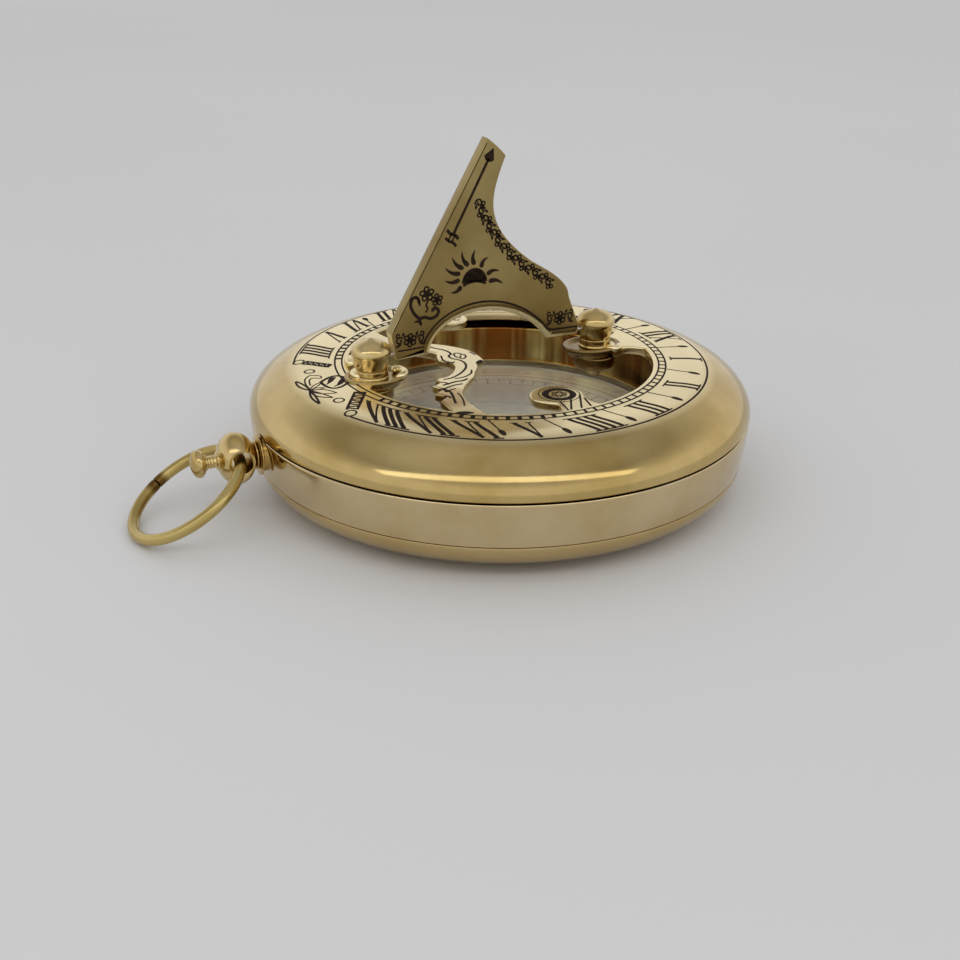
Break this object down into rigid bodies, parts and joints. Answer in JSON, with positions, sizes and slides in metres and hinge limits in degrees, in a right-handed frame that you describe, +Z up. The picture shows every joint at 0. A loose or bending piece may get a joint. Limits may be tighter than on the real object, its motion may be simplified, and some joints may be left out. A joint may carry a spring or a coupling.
{
  "type": "sundial compass",
  "caption": "Round brass pocket sundial with a folding gnomon over a glazed magnetic compass, and a pendant with a wire bow.",
  "frame": {"origin": "middle of the flat of the back, on the case's axis", "axes": "+Z up through the dial, +Y to the noon end of the gnomon line, +X to the evening hours; the pendant points to -Y"},
  "size_m": [0.076, 0.0958, 0.0525],
  "materials": {
    "polished_brass": "polished",
    "bowl_brass": "polished",
    "turned_brass": "polished",
    "antique_brass": "satin",
    "wire_brass": "drawn",
    "silvered_card": "satin",
    "steel": "turned",
    "needle_steel": "blued",
    "glass": "clear"
  },
  "bodies": {
    "case": {"back_cover": "polished_brass", "case_band": "polished_brass", "dial_lid": "polished_brass", "compass_bowl": "bowl_brass", "compass_card": "silvered_card", "pivot_pin": "steel", "compass_glass": "glass", "glass_ring": "bowl_brass", "south_post": "turned_brass", "north_post": "turned_brass", "south_post_nut": "turned_brass", "north_post_nut": "turned_brass", "pendant_collar": "turned_brass", "pendant_nut": "turned_brass", "pendant_ball": "turned_brass", "pendant_finial": "turned_brass"},
    "gnomon": {"gnomon_plate": "antique_brass", "south_hinge_pin": "steel", "north_hinge_pin": "steel"},
    "needle": {"compass_needle": "needle_steel", "needle_cap": "bowl_brass"},
    "bow": {"bow_ring": "wire_brass"}
  },
  "joints": [
    {"name": "gnomon_fold", "type": "hinge", "parent": "case", "child": "gnomon", "pos_m": [0, -0.018, 0.02215], "axis": [0, 1, 0], "range_deg": [-93.8, 93.8]},
    {"name": "needle_turn", "type": "hinge", "parent": "case", "child": "needle", "pos_m": [0, 0, 0.0073], "axis": [0, 0, 1], "continuous": true},
    {"name": "bow_swing", "type": "hinge", "parent": "case", "child": "bow", "pos_m": [0, -0.0414, 0.01], "axis": [-1, 0, 0], "range_deg": [-96, 155]}
  ]
}
